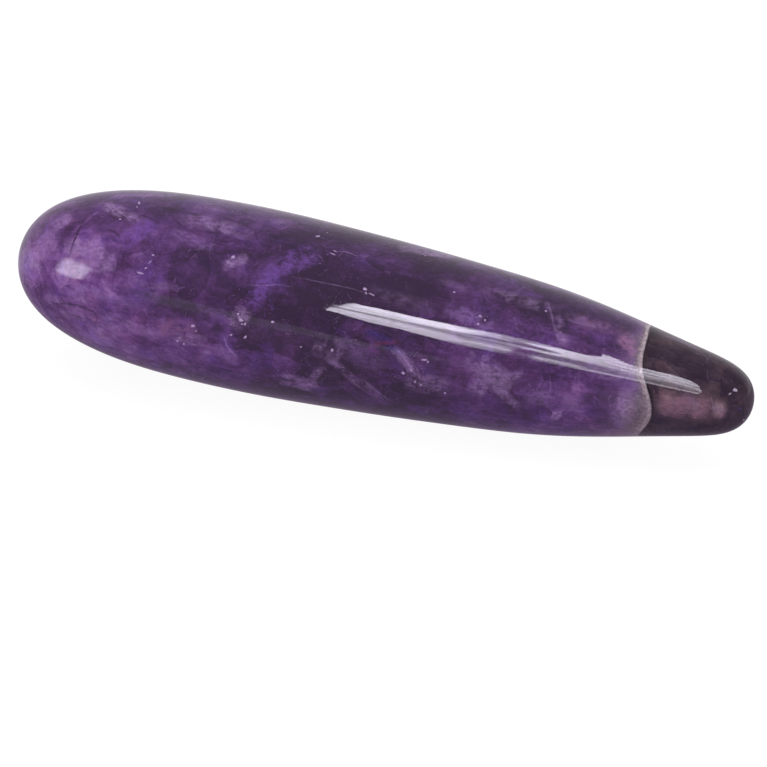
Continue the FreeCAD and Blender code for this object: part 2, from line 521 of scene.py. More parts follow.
def milkiness(p):
    """How milky the stone is: a granular line on the tip side of the band
    that fades out towards the amethyst, broader and denser low down."""
    d = tip_boundary(p[..., 1], p[..., 2]) - p[..., 0]
    pp, q = growth_axes(p[..., 1], p[..., 2])
    low = np.clip(0.5 + q / 14.0, 0, 1)
    jag = 0.05 * np.sin(5.1 * q + 2.0 * pp) + 0.03 * np.sin(11.0 * q - 3.0 * pp)
    line = np.exp(-(np.clip(d + jag, 0, None) / (0.36 + 0.08 * low)) ** 1.5)
    reach = 1.5 + 1.9 * low + 0.5 * np.sin(1.3 * q + 0.4 * pp)
    fade = np.exp(-(np.clip(d, 0, None) / reach) ** 1.4) * (0.30 + 0.28 * low)
    m = np.clip(line * 0.85 + fade, 0, 1)
    return np.where(d >= -0.02, m, 0.0)


def ring_cap(rim, fn, rings, offset):
    """Rings from the rim to the middle of a growth surface."""
    out = []
    for k in range(1, rings):
        s = 1 - k / rings
        y, z = rim[:, 1] * s, rim[:, 2] * s
        out.append(np.stack([fn(y, z) + offset, y, z], -1))
    mid = np.array([[float(fn(np.float64(0), np.float64(0))) + offset, 0.0, 0.0]])
    return np.vstack(out), mid


def tube(u_lo, u_hi, rows):
    f = np.linspace(0, 1, rows)[:, None]
    u = u_lo[None] * (1 - f) + u_hi[None] * f
    return skin_point(u, np.broadcast_to(phi, u.shape))


def skin(name, rows, u_lo, u_hi, cap_lo, cap_hi, mat, cap_lo_mat, cap_hi_mat):
    verts, faces, fm, n = [], [], [], 0
    grid = tube(u_lo, u_hi, rows)
    if cap_lo is None:
        grid = grid[1:]
    if cap_hi is None:
        grid = grid[:-1]
    body = undulate(grid)
    verts.append(body.reshape(-1, 3))
    fs = quads(len(body), COLS)
    faces += fs
    fm += [0] * len(fs)
    n = len(body) * COLS
    for side, cap, start in (("lo", cap_lo, 0), ("hi", cap_hi, (len(body) - 1) * COLS)):
        flip = side == "hi"
        if cap is None:
            apex = np.array([[0.0 if side == "lo" else WAND_LENGTH, 0.0, 0.0]])
            verts.append(apex)
            fs = fan(start, COLS, n, flip)
            faces += fs
            fm += [0] * len(fs)
            n += 1
        else:
            fn, off = cap
            rim = body[0] if side == "lo" else body[-1]
            rings, mid = ring_cap(rim, fn, 14, off)
            verts += [rings, mid, rim]
            k = len(rings) // COLS
            idx = [n + len(rings) + 1 + j for j in range(COLS)]
            first = [n + j for j in range(COLS)]
            fs = []
            for j in range(COLS):
                m = (j + 1) % COLS
                f = (idx[j], first[j], first[m], idx[m])
                fs.append(f[::-1] if flip else f)
            fs += quads(k, COLS, n, not flip)
            fs += fan(n + (k - 1) * COLS, COLS, n + k * COLS, flip)
            faces += fs
            fm += [1 if side == "lo" else 2] * len(fs)
            n += len(rings) + 1 + COLS
    v = np.vstack(verts)
    mats = [mat, cap_lo_mat or mat, cap_hi_mat or mat]
    return make(name, v, faces, mats, {"milk": milkiness(v)}, fm)


zero = np.zeros(COLS)
full = np.full(COLS, U_TIP)
body_skin = skin("amethyst_skin", 320, zero, u_band, None, (band_boundary, -0.03), amethyst_mat, None, join_mat)
band_skin = skin("milky_band_skin", 36, u_band, u_edge, (band_boundary, 0.03), (tip_boundary, -0.03), milky_mat, join_mat, growth_mat)
tip_skin = skin("smoky_tip_skin", 90, u_edge, full, (tip_boundary, 0.03), None, smoky_mat, growth_mat, None)

# ---------------------------------------------------------------- interior
def core_tone(p):
    """Brightness of the interior, zone by zone: 0 dark, 1 pale."""
    return np.interp(p[..., 0], [0, 6, 14, 24, 34, 44, 54, 62, 72, 84, 96],
                     [0.58, 0.57, 0.53, 0.47, 0.38, 0.22, 0.18, 0.25, 0.32, 0.36, 0.40])


def core_pink(p):
    return np.clip(0.35 - p[..., 0] / 80.0, 0, 0.35)


def place_marks(base, p, marks):
    """Adds listed light and dark areas: (view x, view y, depth, size along,
    size across, amount)."""
    out = base.copy()
    for px, py, depth, sa, sb, amount in marks:
        hit = seen_at(px, py, depth)
        if hit is not None:
            out = out + 1.5 * amount * blob(p, hit[0], (sa, sb, sb), 4.0)
    return out


# Body tone marks, listed one by one. Most are paler or darker patches of the stone; (58, 312) and (88, 325) are
# painted highlights, (92, 290) is a painted glow under the left end's highlight, and the pale ones along the lower
# side, (100, 338), (150, 347), (205, 358), (500, 395), (560, 390), (590, 415) and (590, 426), are a painted glow of
# light brought down through the stone.
TONE_AND_PAINTED_GLOW_MARKS = [
    (40, 245, 3, 3, 4, 0.06), (84, 250, 3, 3, 2.5, 0.16), (88, 325, 3, 3, 3, 0.18),
    (138, 232, 3, 3.5, 3, 0.20), (92, 290, 3, 3.5, 2, 0.16), (66, 230, 3, 2.5, 2.5, -0.06),
    (165, 300, 3, 5, 2, -0.08), (165, 325, 3, 5, 2.5, 0.12), (420, 292, 3, 6, 2.5, -0.09), (455, 385, 3, 4, 2.5, -0.07), (585, 395, 3, 4, 2.5, -0.06), (100, 338, 3, 9, 4, 0.10), (58, 312, 3, 4, 4, 0.08),
    (150, 347, 3, 8, 3, 0.08), (205, 358, 3, 7, 2.5, 0.07), (135, 203, 3, 5, 2, 0.10), (272, 225, 3, 4, 2, 0.10),
    (235, 238, 3, 3, 2.5, 0.08), (590, 426, 3, 8, 2.5, 0.08), (340, 300, 3, 3.5, 2, -0.05), (355, 350, 3, 4.5, 3, -0.08),
    (450, 275, 3, 5, 2, -0.08), (585, 318, 3, 4, 2, -0.06), (30, 300, 3, 3, 6, 0.05), (228, 345, 3, 1.5, 3, 0.16),
    (225, 300, 3, 4, 3, -0.12), (300, 383, 3, 4, 1.5, 0.16), (360, 285, 3, 7.5, 4.2, -0.13),
    (303, 310, 3, 5, 2.8, -0.09), (350, 385, 3, 5, 3, -0.12), (270, 280, 3, 3, 2.6, 0.16),
    (408, 362, 3, 3, 2, 0.14), (255, 225, 3, 7, 2, -0.08), (440, 300, 3, 6, 3, -0.08),
    (500, 395, 3, 5, 3, 0.08), (560, 390, 3, 5, 3, 0.10), (600, 335, 3, 4, 2.5, 0.06),
    (450, 400, 3, 4, 2, -0.08), (540, 310, 3, 5, 2, -0.06), (590, 415, 3, 4, 2, 0.05),
]
# Tip tone marks: (680, 343) is a painted sheen; the pale ones low down, (672, 405), (700, 408), (720, 411), (684,
# 395) and (663, 400), are painted light coming up through the tip from below; the dark ones darken the stone in
# patches.
TIP_TONE_AND_PAINTED_LIGHT_MARKS = [
    (680, 343, 1.2, 3, 1.0, 0.14), (672, 405, 1.2, 3.4, 1.9, 0.19), (700, 408, 1.2, 2.8, 1.8, 0.17),
    (720, 411, 1.2, 0.9, 1.3, 0.34), (684, 395, 1.2, 1.6, 1.2, 0.10), (733, 380, 1.2, 1.6, 1.9, -0.14),
    (700, 380, 1.2, 4, 0.9, -0.08), (690, 430, 1.2, 2.4, 0.6, -0.08), (655, 380, 1.2, 1.5, 4, -0.04),
    (663, 400, 1.2, 1.5, 2.4, 0.08),
]


def core(name, lo_fn, hi_fn, shrink, mat, rows, cols, tone_fn, pink_fn, marks, lump):
    """A closed lumpy body under the polish. Its ends lie just off a growth
    surface, or inside the wand's own end where there is none."""
    a = np.linspace(0, 2 * math.pi, cols, endpoint=False)
    zero_c, full_c = np.zeros(cols), np.full(cols, U_TIP)
    u0 = u_where(lo_fn, a) if lo_fn else zero_c
    u1 = u_where(hi_fn, a) if hi_fn else full_c
    f = np.linspace(0, 1, rows)[:, None]
    u = u0 * (1 - f) + u1 * f
    ph = np.broadcast_to(a, u.shape)
    p = skin_point(u, ph)
    X, Y, Z = p[..., 0], p[..., 1], p[..., 2]
    wob = (np.sin(0.9 * X + 2 * ph) + np.sin(1.7 * X - 3 * ph + 1)
           + 0.8 * np.sin(0.43 * X + 5 * ph + 2) + 0.5 * np.sin(3.1 * X + 4 * ph))
    s = shrink * (1 + lump * 0.03 * wob)
    Y, Z = Y * s, Z * s
    # keep the rounded ends under the polish too
    if not lo_fn:
        X = 1.8 + (X * (1 - 0.019))
    if not hi_fn:
        X = X - 1.5 * np.clip((X - 99.0) / 11.0, 0, 1)
    if hi_fn:
        X = np.minimum(X, hi_fn(Y, Z) - 0.08)
    if lo_fn:
        X = np.maximum(X, lo_fn(Y, Z) + 0.08)
    p = np.stack([X, Y, Z], -1)
    if not lo_fn:
        p = p[1:]
    if not hi_fn:
        p = p[:-1]
    n = len(p) * cols
    ends = []
    for side, fn in ((0, lo_fn), (1, hi_fn)):
        if fn:
            off = 0.08 if side == 0 else -0.08
            ends.append([float(fn(np.float64(0), np.float64(0))) + off, 0, 0])
        else:
            ends.append([1.8 if side == 0 else 108.5, 0, 0])
    v = np.vstack([p.reshape(-1, 3), ends])
    faces = quads(len(p), cols) + fan(0, cols, n) + fan((len(p) - 1) * cols, cols, n + 1, True)
    # tone: the zones plus the marks, some of which are painted highlights and painted glow
    tone_and_painted_glow = place_marks(tone_fn(v), v, marks)
    return make(name, v, faces, [mat], {"tone_and_painted_glow": tone_and_painted_glow, "pink": pink_fn(v)})


depths = core("amethyst_depths", None, tip_boundary, 0.80, core_mat, 380, 256,
              core_tone, core_pink, TONE_AND_PAINTED_GLOW_MARKS, 0.30)
tip_depths = core("smoky_depths", tip_boundary, None, 0.80, tip_core_mat, 90, 128,
                  lambda p: np.full(p.shape[:-1], 0.34), lambda p: np.full(p.shape[:-1], 0.0),
                  TIP_TONE_AND_PAINTED_LIGHT_MARKS, 0.2)


# marks, flecks and veils inside the stone --------------------------------
class Marks:
    """Small flat pieces gathered into one mesh."""

    def __init__(self):
        self.v, self.f, self.fade, self.kind = [], [], [], []

    def add(self, pts, faces, fade, kind=0.0):
        n = len(self.v)
        self.v += [tuple(k) for k in pts]
        self.f += [tuple(i + n for i in f) for f in faces]
        self.fade += list(fade)
        self.kind += [kind] * len(pts)

    def done(self, name, mat):
        return make(name, np.array(self.v), self.f, [mat],
                    {"fade": self.fade, "kind": self.kind}, smooth=False)


def sight_frame(px, py, depth):
    """A place inside the stone and the steps that shift it one view unit
    right and one down."""
    c = seen_at(px, py, depth)
    r = seen_at(px + 1.5, py, depth)
    d = seen_at(px, py + 1.5, depth)
    if c is None or r is None or d is None:
        return None
    return c[0], (r[0] - c[0]) / 1.5, (d[0] - c[0]) / 1.5, c[2]


def fleck(marks, px, py, depth, length, width, angle, kind=0.0, lean=0.0):
    """An irregular sliver, sizes in view units, angle clockwise from right."""
    fr = sight_frame(px, py, depth)
    if fr is None:
        return
    c, ex, ey, bent = fr
    a = math.radians(angle)
    n = 7
    pts = []
    for k in range(n):
        th = 2 * math.pi * k / n
        j = 1 + RNG.uniform(-0.3, 0.3)
        x, y = math.cos(th) * length / 2 * j, math.sin(th) * width / 2 * j
        dx, dy = x * math.cos(a) - y * math.sin(a), x * math.sin(a) + y * math.cos(a)
        pts.append(c + ex * dx + ey * dy + bent * lean * x * 0.1)
    marks.add(pts, [tuple(range(n))], [1.0] * n, kind)


def scatter(marks, px, py, rx, ry, count, depth, length, width, angle, spread, kind=0.0):
    """A cluster of slivers."""
    for _ in range(count):
        r, th = math.sqrt(RNG.uniform()) , RNG.uniform(0, 2 * math.pi)
        fleck(marks, px + rx * r * math.cos(th), py + ry * r * math.sin(th),
              RNG.uniform(*depth), length * RNG.uniform(0.4, 1.5), width * RNG.uniform(0.5, 1.4),
              angle + RNG.uniform(-spread, spread), kind)


def veil(marks, px, py, length, width, angle, d0, d1, kind=0.0, strength=1.0, n=18, m=10, bend=0.0):
    """A thin curved sheet, d0 mm deep at one long edge and d1 at the other."""
    a = math.radians(angle)
    pts, fade = [], []
    for i in range(n):
        for j in range(m):
            s, w = i / (n - 1) * 2 - 1, j / (m - 1) * 2 - 1
            x = s * length / 2
            y = w * width / 2 + bend * (s * s - 0.5)
            dx, dy = x * math.cos(a) - y * math.sin(a), x * math.sin(a) + y * math.cos(a)
            dep = d0 + (d1 - d0) * (w + 1) / 2 + 0.12 * math.sin(5 * s + 2 * w)
            h = seen_at(px + dx, py + dy, max(dep, 0.08))
            if h is None:
                return
            pts.append(h[0])
            fade.append(strength * max(0.0, 1 - abs(s) ** 2.5) * max(0.0, 1 - abs(w) ** 2.0))
    faces = [(i * m + j, (i + 1) * m + j, (i + 1) * m + j + 1, i * m + j + 1)
             for i in range(n - 1) for j in range(m - 1)]
    marks.add(pts, faces, fade, kind)


def fleck_material(name, cols, strength=0.0):
    """Slivers of clean fracture; kind picks the colour. strength is a painted glow, and the white glowing slivers are
    painted glints where fractures catch the light.
    """
    t = Tree(name)
    kind = t.attr("kind").outputs["Fac"]
    col = t.ramp(kind, [(k / max(len(cols) - 1, 1), c) for k, c in enumerate(cols)])
    bs = t.n("BsdfPrincipled", None, Base_Color=col, Roughness=0.35, IOR=1.3,
             Emission_Color=col, Emission_Strength=strength)
    t.t.links.new(bs.outputs[0], t.out.inputs[0])
    return t.mat


def veil_material(name, cols, grain=2.2, lo=0.38, hi=0.60, most=1.1, stretch=(0.5, 1.2, 1.2)):
    """A fracture veil: granular, thin, and see-through between its grains."""
    t = Tree(name)
    vec = t.attr("wand").outputs["Vector"]
    kind = t.attr("kind").outputs["Fac"]
    fade = t.attr("fade").outputs["Fac"]
    g = t.noise(t.stretch(vec, stretch, (0.2, 0.5, 0.3)), grain, 6.0, 0.72)
    soft = t.noise(vec, 0.55, 4.0, 0.6)
    al = t.math("MULTIPLY", t.span(g, lo, hi), t.span(soft, 0.33, 0.56))
    al = t.math("ADD", al, t.math("MULTIPLY", t.span(soft, 0.3, 0.7), 0.30))
    al = t.math("MULTIPLY", t.math("MULTIPLY", al, fade), most, clamp=True)
    col = t.ramp(kind, [(k / max(len(cols) - 1, 1), c) for k, c in enumerate(cols)])
    bs = t.n("BsdfPrincipled", None, Base_Color=col, Roughness=0.8, IOR=1.05, Alpha=al)
    t.t.links.new(bs.outputs[0], t.out.inputs[0])
    return t.mat


def crack_material():
    """Fracture lines, 0 dark and 1 pale, broken up along their length; a few of the dark ones are painted reflection
    lines.
    """
    t = Tree("cracks")
    vec = t.attr("wand").outputs["Vector"]
    g = t.noise(vec, 1.8, 4.0, 0.7)
    al = t.math("MULTIPLY", t.attr("fade").outputs["Fac"], t.span(g, 0.34, 0.56, 0.30, 1.0), clamp=True)
    col = t.ramp(t.attr("kind").outputs["Fac"], [(0.0, rgb(38, 14, 48)), (1.0, rgb(216, 196, 228))])
    bs = t.n("BsdfPrincipled", None, Base_Color=col, Roughness=0.6, IOR=1.2, Alpha=al)
    t.t.links.new(bs.outputs[0], t.out.inputs[0])
    return t.mat


# painted glints: white flecks with a faint painted glow stand for fractures catching the light; colours by kind: 0
# white, 0.5 pink, 1 violet
glint_mat = fleck_material("painted glint flecks", [rgb(250, 244, 255), rgb(214, 130, 190), rgb(150, 110, 222)], 0.10)
# 0 pale lilac, 0.5 vivid violet, 1 brownish pink
veil_mat = veil_material("pale veils and painted glow", [rgb(222, 204, 232), rgb(154, 114, 198), rgb(196, 156, 172)])
# 0 dark plum, 1 dark indigo
shade_mat = veil_material("dark veils and painted reflection lines", [rgb(44, 14, 56), rgb(34, 16, 66)], 1.6, 0.36, 0.6, 0.62)

dust_mat = fleck_material("fine dust", [rgb(196, 176, 212), rgb(176, 100, 156), rgb(138, 104, 206)], 0.0)
# 0 dark crack, 1 pale crack
crack_mat = crack_material()
# 0 blue, 0.5 red, 1 rose: thin-film colours in one fracture
film_mat = veil_material("thin film colours", [rgb(72, 70, 168), rgb(170, 70, 84), rgb(146, 78, 146)], 1.2, 0.3, 0.6, 0.42)
glints, dust, veils, shades = Marks(), Marks(), Marks(), Marks()
cracks, films = Marks(), Marks()


def crack(points, width, kind=0.0, strength=0.9, depth=0.35):
    """A fracture line through places in the main view, tapered at its ends."""
    pts = np.array(points, float)
    d = np.concatenate([[0], np.cumsum(np.linalg.norm(np.diff(pts, axis=0), axis=1))])
    n = max(8, int(d[-1] / 3))
    line = np.stack([np.interp(np.linspace(0, d[-1], n), d, pts[:, k]) for k in (0, 1)], -1)
    for _ in range(3):
        line[1:-1] = (line[:-2] + 2 * line[1:-1] + line[2:]) / 4
    step = np.gradient(line, axis=0)
    side = np.stack([-step[:, 1], step[:, 0]], -1) / np.linalg.norm(step, axis=1)[:, None]
    out, fade = [], []
    for k in range(n):
        s = k / (n - 1) * 2 - 1
        w = width * (1 - 0.6 * s * s) * (1 + 0.35 * math.sin(2.1 * k) * math.sin(0.7 * k + 1))
        for m in (-1, 0, 1):
            h = seen_at(*(line[k] + side[k] * m * w / 2), depth)
            if h is None:
                return
            out.append(h[0])
            fade.append(strength * (1 - abs(s) ** 4) * (1.0 if m == 0 else 0.35))
    faces = [(3 * k + j, 3 * k + j + 1, 3 * k + j + 4, 3 * k + j + 3) for k in range(n - 1) for j in (0, 1)]
    cracks.add(out, faces, fade, kind)

# painted glints, white flecks with a faint glow, listed one by one: view x, y, length, width, angle
for px, py, ln, wd, an in [
    (139, 203, 3.0, 2.6, 0), (137, 207, 2, 1.4, 60), (140, 273, 8, 1.8, 12), (146, 268, 4, 1.4, -25),
    (153, 255, 2.6, 2.0, 0), (150, 262, 5, 1.2, -50), (233, 257, 4.5, 3.0, -20), (228, 262, 3, 2, 20),
    (241, 320, 4.5, 3.4, 20), (238, 314, 2.4, 2.0, 0), (245, 324, 3, 1.8, -40), (179, 338, 2, 2, 0),
    (193, 326, 4.2, 3.2, -20), (196, 331, 2.2, 1.6, 10), (177, 341, 2.6, 1.8, 30), (184, 344, 2, 2, 0),
    (245, 337, 3.8, 2.6, -40), (273, 322, 3.6, 2.4, -10), (242, 324, 2.2, 1.8, 0), (333, 254, 6, 1.1, 25),
    (335, 251, 4, 0.9, 30), (365, 289, 4, 3, 0), (371, 294, 7, 1.3, 25), (366, 293, 3, 1.4, 60),
    (480, 316, 3, 2.6, 0), (478, 324, 2.6, 2, 30), (485, 320, 2, 2, 0), (425, 360, 7, 2.0, 5),
    (428, 362, 3, 1.6, -20), (403, 373, 3.4, 3.0, 0), (332, 350, 3, 3, 0), (301, 347, 2, 1.6, 0),
    (445, 393, 2.4, 2.2, 0), (415, 382, 2.2, 2.2, 0), (421, 385, 2.0, 1.6, 0), (454, 292, 2.6, 1.8, 0),
    (546, 311, 2.4, 2.2, 0), (318, 236, 5, 2.0, -10), (399, 352, 5, 1.2, 35), (405, 360, 5, 1.2, 48),
    (411, 370, 4, 1.2, 60), (120, 219, 2, 1.5, 0), (231, 335, 3, 1.6, -30)]:
    fleck(glints, px, py, RNG.uniform(0.35, 1.1), ln, wd, an, 0.0, RNG.uniform(-2, 2))
# painted highlight on the nose of the tip, made of glint flecks
fleck(glints, 735, 390, 0.5, 4.6, 3.6, 0)
fleck(glints, 730, 394, 0.5, 4.0, 1.2, -30)
fleck(glints, 744, 420, 0.4, 1.8, 1.6, 0)
# clusters: dust of tiny slivers
for cx, cy, rx, ry, n, ln, wd, an, kd in [
    (160, 322, 24, 10, 60, 3.0, 1.6, 0, 0.5), (150, 300, 30, 14, 26, 2.6, 1.3, 10, 0.5),
    (138, 262, 14, 12, 22, 2.6, 1.0, -20, 0.0), (186, 338, 14, 8, 30, 2.2, 1.2, 0, 0.0),
    (236, 312, 16, 22, 40, 2.4, 1.3, -60, 0.0), (262, 300, 14, 26, 46, 3.0, 1.6, -60, 1.0),
    (140, 240, 22, 16, 50, 3.2, 1.8, -40, 1.0), (408, 366, 18, 16, 70, 2.2, 1.2, 45, 0.0),
    (425, 385, 22, 10, 40, 2.0, 1.2, 20, 0.0), (480, 320, 10, 8, 16, 1.8, 1.2, 0, 0.0),
    (215, 215, 60, 14, 50, 3.0, 1.0, 15, 0.0), (330, 265, 50, 16, 40, 3.0, 0.9, 20, 0.0),
    (300, 375, 24, 12, 46, 2.4, 1.4, 20, 0.0), (90, 247, 16, 9, 34, 3.4, 1.0, 5, 0.0),
    (60, 300, 22, 22, 34, 2.6, 1.2, 50, 0.0), (490, 370, 26, 18, 36, 2.2, 1.2, 30, 0.0),
    (600, 320, 40, 14, 28, 2.2, 1.0, 15, 0.0), (545, 400, 40, 12, 30, 2.4, 1.2, 5, 0.0),
    (690, 405, 26, 14, 26, 2.4, 1.0, 0, 0.5), (620, 340, 14, 12, 26, 2.2, 1.0, 60, 0.0)]:
    scatter(dust, cx, cy, rx * 1.1, ry * 1.1, int(n * 0.55), (0.5, 1.8), ln * 0.55, wd * 0.5, an, 40, kd)

# pale veils, some of them painted highlights and painted glow: view x, y, length, width, angle, depths, colour,
# strength
for v in [
    (84, 248, 44, 18, 4, 0.5, 1.6, 0.0, 0.85), (62, 222, 26, 12, -30, 0.4, 1.2, 0.0, 0.5),
    # (88, 291) is a painted glow under the left end's highlight; (60, 306) here and (88, 327) on the next line are
    # painted faint highlights
    (88, 291, 36, 16, 4, 0.7, 1.2, 0.25, 0.9), (60, 306, 40, 16, 35, 0.4, 1.6, 0.0, 0.7),
    (88, 327, 26, 16, 35, 0.4, 1.2, 0.5, 0.9), (138, 232, 44, 20, -35, 0.5, 1.8, 0.5, 0.9),
    (120, 212, 50, 14, 25, 0.5, 1.4, 0.0, 0.45), (150, 285, 60, 10, 6, 0.5, 1.8, 0.0, 0.45),
    (175, 330, 50, 24, 5, 0.5, 1.7, 1.0, 0.55), (190, 340, 36, 14, 5, 0.5, 1.2, 0.0, 0.6),
    (228, 345, 30, 8, 60, 0.3, 1.4, 0.5, 0.95), (240, 318, 26, 20, -60, 0.4, 1.6, 0.0, 0.7),
    (262, 290, 56, 22, -55, 0.5, 2.0, 0.5, 0.6), (290, 262, 70, 26, -20, 0.6, 1.9, 0.5, 0.6),
    (215, 225, 80, 16, 14, 0.5, 1.6, 0.0, 0.35), (300, 383, 44, 14, 15, 0.4, 1.2, 0.0, 0.9),
    (406, 362, 40, 12, 48, 0.3, 1.6, 0.0, 0.95), (428, 384, 50, 22, 12, 0.5, 1.7, 0.0, 0.55),
    (360, 355, 60, 26, 30, 0.6, 1.9, 0.25, 0.28), (335, 352, 30, 18, -60, 0.4, 1.4, 0.0, 0.4),
    (490, 372, 60, 30, 40, 0.5, 1.8, 0.0, 0.6), (470, 318, 60, 20, 20, 0.5, 1.8, 0.25, 0.5),
    (555, 400, 70, 20, 8, 0.4, 1.4, 0.0, 0.3), (555, 418, 10, 6, 0, 0.2, 0.5, 0.0, 1.0),
    (600, 325, 60, 16, 16, 0.4, 1.4, 1.0, 0.22), (560, 330, 40, 14, 70, 0.4, 1.4, 0.0, 0.4),
    (628, 345, 26, 20, 60, 0.2, 0.9, 1.0, 0.8), (625, 408, 40, 26, -70, 0.2, 1.0, 0.0, 0.75),
    # (685, 408) here and (720, 411) and (711, 404) on the next line: brownish-pink sheets low in the tip, painted
    # light coming up through the tip from below
    (700, 340, 60, 9, 22, 0.2, 0.8, 0.0, 0.55), (685, 408, 56, 24, 2, 0.3, 1.0, 1.0, 0.9),
    (720, 411, 9, 14, 0, 0.2, 0.5, 1.0, 1.0), (711, 404, 1.6, 15, 5, 0.25, 0.5, 1.0, 1.0),
    (400, 300, 80, 18, 16, 0.5, 1.6, 0.0, 0.12), (520, 300, 90, 14, 17, 0.5, 1.5, 0.0, 0.28),
    (48, 240, 34, 30, 60, 0.3, 1.2, 0.0, 0.30), (36, 262, 30, 12, 75, 0.3, 0.9, 0.0, 0.45),
    (103, 262, 24, 30, 80, 0.5, 1.4, 0.0, 0.45), (118, 300, 50, 12, 12, 0.5, 1.4, 0.25, 0.5),
    (140, 330, 44, 12, 24, 0.4, 1.3, 0.0, 0.45), (112, 322, 26, 14, 60, 0.4, 1.2, 0.0, 0.45),
    (235, 262, 30, 12, -20, 0.5, 1.4, 0.0, 0.55), (192, 240, 50, 14, 20, 0.5, 1.5, 0.25, 0.4),
    (320, 345, 26, 14, -70, 0.4, 1.3, 0.0, 0.5), (345, 372, 44, 9, 42, 0.4, 1.2, 0.0, 0.6),
    (318, 372, 22, 10, -50, 0.4, 1.2, 0.0, 0.6), (372, 390, 34, 9, 40, 0.4, 1.2, 0.0, 0.45),
    (480, 385, 20, 26, 30, 0.4, 1.4, 0.0, 0.65), (508, 398, 34, 10, 40, 0.4, 1.2, 0.0, 0.6),
    (512, 376, 26, 10, -20, 0.4, 1.2, 0.0, 0.55), (455, 285, 40, 9, 18, 0.4, 1.1, 0.0, 0.12),
    (585, 322, 50, 12, 18, 0.4, 1.2, 0.0, 0.15), (610, 372, 40, 20, 10, 0.3, 1.1, 0.0, 0.35),
    (557, 414, 11, 7, 0, 0.15, 0.3, 0.0, 1.0), (557, 414, 11, 7, 0, 0.2, 0.4, 0.0, 1.0)]:
    veil(veils, *v[:7], kind=v[7], strength=v[8])

# dark veils and fracture lines; some of them are painted reflection lines, marked below
for v in [
    # (28, 230) is a painted dark reflection along the rim of the left end
    (78, 235, 48, 3.0, -66, 0.2, 0.9, 0.0, 1.0, 3.0), (28, 230, 34, 5, -62, 0.15, 0.6, 0.0, 1.0, 2.0),
    (78, 316, 52, 6.0, 24, 0.3, 1.0, 0.0, 1.0, -4.0), (114, 232, 14, 3.5, 35, 0.3, 0.8, 1.0, 1.0, 0),
    (154, 221, 14, 3.0, 25, 0.3, 0.8, 1.0, 1.0, 0), (190, 213, 26, 3.6, 12, 0.3, 0.9, 0.0, 1.0, 0),
    (178, 222, 20, 3.0, 40, 0.3, 0.8, 0.0, 0.8, 0), (124, 258, 24, 4, -75, 0.4, 1.0, 0.0, 0.7, 2),
    (205, 262, 30, 14, 30, 0.5, 1.4, 1.0, 0.9, 0), (225, 280, 34, 14, 50, 0.5, 1.6, 1.0, 0.8, 0),
    # (160, 298) and (218, 308) are a painted dark reflection line along the middle of the wand
    (160, 298, 90, 7, 11, 0.4, 1.2, 0.0, 0.8, 0), (218, 308, 50, 12, 14, 0.4, 1.4, 0.0, 0.9, 0),
    (362, 282, 96, 40, 14, 0.5, 1.8, 0.0, 0.8, 0), (304, 312, 70, 30, 16, 0.5, 1.8, 0.0, 0.8, 0),
    # (386, 329) is the painted dark reflection line under the long highlight
    (350, 384, 60, 32, 8, 0.5, 1.8, 0.0, 0.8, 0), (386, 329, 112, 2.4, 17, 0.12, 0.5, 1.0, 1.0, 0),
    (235, 350, 26, 5, 60, 0.4, 1.2, 0.0, 0.7, 0), (440, 300, 70, 22, 18, 0.5, 1.6, 0.0, 0.6, 0),
    (455, 398, 60, 20, 5, 0.5, 1.6, 0.0, 0.6, 0), (540, 312, 60, 14, 18, 0.5, 1.4, 0.0, 0.6, 0),
    (655, 380, 50, 6, 82, 0.12, 0.6, 0.0, 0.8, 0), (733, 380, 22, 30, 20, 0.3, 0.9, 0.0, 0.9, 0),
    (697, 357, 30, 2.4, -15, 0.2, 0.6, 0.0, 1.0, 0), (690, 428, 24, 7, 0, 0.2, 0.6, 1.0, 0.8, 0),
    (120, 320, 34, 3, 26, 0.4, 1.0, 0.0, 0.7, 0), (270, 345, 50, 10, 22, 0.5, 1.4, 0.0, 0.5, 0)]:
    veil(shades, *v[:7], kind=v[7], strength=v[8], bend=v[9])


